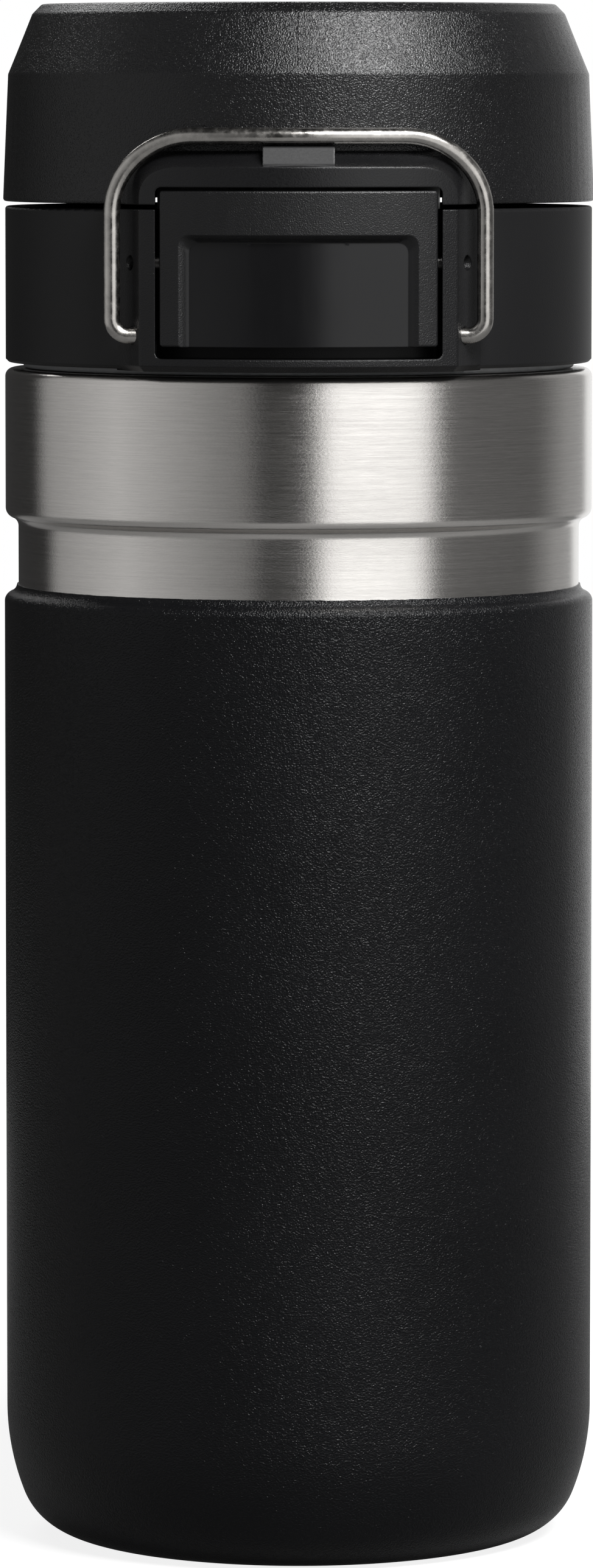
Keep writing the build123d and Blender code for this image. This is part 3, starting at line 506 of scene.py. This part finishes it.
def spring_tree():
    """A coil of round wire, turned and moved to its seat."""
    t = Tree("wire coil", Turns="Float", Coil_Radius="Float", Wire_Radius="Float", Length="Float",
             Tilt="Rotation", Seat="Vector")
    helix = t.node("GeometryNodeCurveSpiral")
    helix.inputs["Resolution"].default_value = 40
    for label, socket in (("Turns", "Rotations"), ("Coil Radius", "Start Radius"),
                          ("Coil Radius", "End Radius"), ("Length", "Height")):
        t.link(t.given[label], helix.inputs[socket])
    wire = t.node("GeometryNodeCurvePrimitiveCircle")
    wire.inputs["Resolution"].default_value = 16
    t.link(t.given["Wire Radius"], wire.inputs["Radius"])
    sweep = t.node("GeometryNodeCurveToMesh")
    sweep.inputs["Fill Caps"].default_value = True
    t.link(helix.outputs["Curve"], sweep.inputs["Curve"])
    t.link(wire.outputs["Curve"], sweep.inputs["Profile Curve"])
    smooth = t.node("GeometryNodeSetShadeSmooth")
    t.link(sweep.outputs["Mesh"], smooth.inputs["Geometry"])
    seat = t.node("GeometryNodeTransform")
    t.link(smooth.outputs["Geometry"], seat.inputs["Geometry"])
    t.link(t.given["Tilt"], seat.inputs["Rotation"])
    t.link(t.given["Seat"], seat.inputs["Translation"])
    return t.end(seat.outputs["Geometry"])


def springs():
    """The button's compression spring and the turns of the lid's torsion spring."""
    tree, finish = spring_tree(), drawn_steel("spring wire", (0.55, 0.54, 0.52), 0.22)
    thin, thick = 0.25 * MM, 0.32 * MM
    button_z, length = (SPRING_LOW.z + SPRING_HIGH.z) / 2, SPRING_HIGH.y - SPRING_LOW.y - 2 * thin
    push = grow("button_return_spring", bpy.data.meshes.new("seat"), tree, finish, Turns=6.0,
                Coil_Radius=SPRING_HIGH.x - thin, Wire_Radius=thin, Length=length,
                Tilt=(math.radians(90), 0, 0), Seat=(0, SPRING_HIGH.y - thin, button_z))
    twist = grow("lid_spring", bpy.data.meshes.new("seat"), tree, finish, Turns=8.5,
                 Coil_Radius=(COIL_HIGH.z - COIL_LOW.z) / 2 - thick, Wire_Radius=thick,
                 Length=COIL_HIGH.x - COIL_LOW.x - 2 * thick, Tilt=(0, math.radians(90), 0),
                 Seat=(COIL_LOW.x + thick, (COIL_LOW.y + COIL_HIGH.y) / 2, (COIL_LOW.z + COIL_HIGH.z) / 2))
    for piece, node in ((push, "button_spring"), (twist, "hinge_spring")):
        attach(piece, "collar")
        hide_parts(node)
    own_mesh(push)


# ---- the CAD pieces that stay

def finish_nodes():
    liner = brushed_steel("liner steel", (0.62, 0.61, 0.60), 0.3)
    cup = brushed_steel("base steel", (0.58, 0.57, 0.555), 0.3)
    pins, wire = drawn_steel("ground steel"), drawn_steel("bail wire", (0.42, 0.405, 0.385), 0.22)
    # the button's pins get a steel tone of 0.16, far darker than the other steel parts
    rocker_pin = drawn_steel("dark dull pin", (0.16, 0.155, 0.15), 0.4)
    core, rubber = core_moulding(), grey_silicone()
    worn = {
        "inner_liner": liner, "base_cup": cup, "base_disc": cup, "lock_bail": wire, "button_pin": rocker_pin,
        "hinge_pin": pins, "getter_clip": pins,
        "threaded_core": core, "drinking_spout": core, "lid_liner": core, "neck_gasket": rubber,
        "lid_seal": rubber, "collar_shell": collar_matte(), "lid_shell": lid_grain(),
        "button": button_satin(), "vacuum_seal": glass_bead(), "getter": getter_pill(),
    }
    for node, material in worn.items():
        NODES[node].data.materials.clear()
        NODES[node].data.materials.append(material)


# ---- studio

SEEN = ("Is Camera Ray", "Is Glossy Ray", "Is Transmission Ray")
FLOOR_R, FLOOR_WHITE, FLOOR_GLINT = 0.45, 0.85, 0.03


def largest(tree, *outputs):
    value = outputs[0]
    for other in outputs[1:]:
        made = tree.nodes.new("ShaderNodeMath")
        made.operation = "MAXIMUM"
        tree.links.new(value, made.inputs[0])
        tree.links.new(other, made.inputs[1])
        value = made.outputs[0]
    return value


def pale_floor():
    """Round pale floor; it looks white where nothing shades it."""
    turns = [math.radians(a) for a in range(0, 360, 3)]
    rim = [(FLOOR_R * math.cos(turn), FLOOR_R * math.sin(turn), 0) for turn in turns]
    mesh = bpy.data.meshes.new("floor")
    mesh.from_pydata(rim, [], [tuple(range(len(rim)))])
    made = bpy.data.objects.new("floor", mesh)
    bpy.context.scene.collection.objects.link(made)
    f = Finish("pale floor", Roughness=0.9, Specular_IOR_Level=0.1)
    f.bsdf.inputs["Base Color"].default_value = (0.15, 0.15, 0.15, 1)
    f.bsdf.inputs["Emission Color"].default_value = (1, 1, 1, 1)
    path = f.node("ShaderNodeLightPath").outputs
    mirrored = f.math("MULTIPLY", largest(f.tree, path[SEEN[1]], path[SEEN[2]]), FLOOR_GLINT)
    seen = f.math("MULTIPLY", path[SEEN[0]], FLOOR_WHITE)
    f.feed(largest(f.tree, seen, mirrored), f.bsdf.inputs["Emission Strength"])
    made.data.materials.append(f.material)


# levels round the studio: degrees from the front (right is positive), brightness
ROUND = ((-180, 0.01), (-126, 0.01), (-117, 0.36), (-75, 0.66), (-30, 0.27), (-20, 0.19), (-15, 0.01),
         (5, 0.01), (12, 1.3), (50, 1.3), (58, 0.11), (108, 0.11), (130, 0.36), (180, 0.5))
RAMP_TOP = 2.0
WALL_TOP = (26, 48)
AMBIENT = 0.025
BACKDROP_FROM = (150, 156)


def surroundings():
    """White behind for the camera; for the object, a dim studio with a panel left and a brighter one right."""
    world = bpy.data.worlds.new("studio")
    bpy.context.scene.world = world
    world.use_nodes = True
    tree = world.node_tree
    link = tree.links.new

    def calc(operation, a, b=0.0):
        made = tree.nodes.new("ShaderNodeMath")
        made.operation = operation
        for value, socket in zip((a, b), made.inputs):
            if isinstance(value, (int, float)):
                socket.default_value = value
            else:
                link(value, socket)
        return made.outputs[0]

    def fade(value, start, end, low, high):
        made = tree.nodes.new("ShaderNodeMapRange")
        made.interpolation_type = "SMOOTHSTEP"
        for part, socket in zip((value, start, end, low, high), made.inputs):
            if isinstance(part, (int, float)):
                socket.default_value = part
            else:
                link(part, socket)
        return made.outputs[0]

    coordinates = tree.nodes.new("ShaderNodeTexCoord")
    way = tree.nodes.new("ShaderNodeSeparateXYZ")
    link(coordinates.outputs["Object"], way.inputs[0])
    x, y, z = way.outputs
    turn = calc("ARCTAN2", x, calc("MULTIPLY", y, -1.0))
    share = calc("ADD", calc("DIVIDE", turn, 2 * math.pi), 0.5)
    levels = tree.nodes.new("ShaderNodeValToRGB")
    stops = levels.color_ramp.elements
    stops.remove(stops[1])
    for angle, level in ROUND:
        stop = stops[0] if angle == ROUND[0][0] else stops.new((angle + 180) / 360)
        stop.color = (level / RAMP_TOP,) * 3 + (1,)
    link(share, levels.inputs[0])
    level = calc("MULTIPLY", levels.outputs["Color"], RAMP_TOP)
    wall = fade(z, *(math.sin(math.radians(a)) for a in WALL_TOP), 1.0, 0.0)
    lit = calc("ADD", calc("MULTIPLY", level, wall), AMBIENT)
    path = tree.nodes.new("ShaderNodeLightPath").outputs
    behind = calc("MULTIPLY", fade(turn, *(math.radians(a) for a in BACKDROP_FROM), 0.0, 1.0), wall)
    bounced = calc("MULTIPLY", largest(tree, path[SEEN[1]], path[SEEN[2]]), behind)
    white = largest(tree, path[SEEN[0]], bounced)
    mix = tree.nodes.new("ShaderNodeMix")
    mix.data_type = "RGBA"
    link(white, mix.inputs[0])
    link(lit, mix.inputs[6])
    mix.inputs[7].default_value = (1, 1, 1, 1)
    link(mix.outputs[2], tree.nodes["Background"].inputs["Color"])


def softbox(name, azimuth, elevation, distance, width, height, power):
    """A rectangular lamp that looks at the upper half of the bottle. Azimuth 0 is the front, 90 the right."""
    lamp = bpy.data.lights.new(name, "AREA")
    lamp.shape = "RECTANGLE"
    lamp.size, lamp.size_y, lamp.energy = width, height, power
    made = bpy.data.objects.new(name, lamp)
    bpy.context.scene.collection.objects.link(made)
    a, e = math.radians(azimuth), math.radians(elevation)
    aim = Vector((0, 0, 0.6 * LID_TOP))
    outward = Vector((math.sin(a) * math.cos(e), -math.cos(a) * math.cos(e), math.sin(e)))
    made.location = aim + distance * outward
    made.rotation_euler = (aim - made.location).to_track_quat("-Z", "Y").to_euler()


def camera():
    """A long lens a metre in front, level with the lid, tilted down."""
    lens = bpy.data.cameras.new("camera")
    lens.sensor_fit = "VERTICAL"
    lens.sensor_height = 36.0
    lens.lens = 184.95
    made = bpy.data.objects.new("camera", lens)
    bpy.context.scene.collection.objects.link(made)
    made.location = (-0.26 * MM, -1.0, 179.5 * MM)
    made.rotation_euler = (math.radians(90 - 4.915), 0, 0)
    bpy.context.scene.camera = made


turned_shells()
springs()
finish_nodes()
pale_floor()
surroundings()
softbox("key", 32, 44, 0.9, 0.52, 0.24, 20.0)
softbox("rear key", 205, 42, 0.9, 0.5, 0.3, 3.0)
camera()
bpy.context.scene.view_settings.view_transform = "Standard"
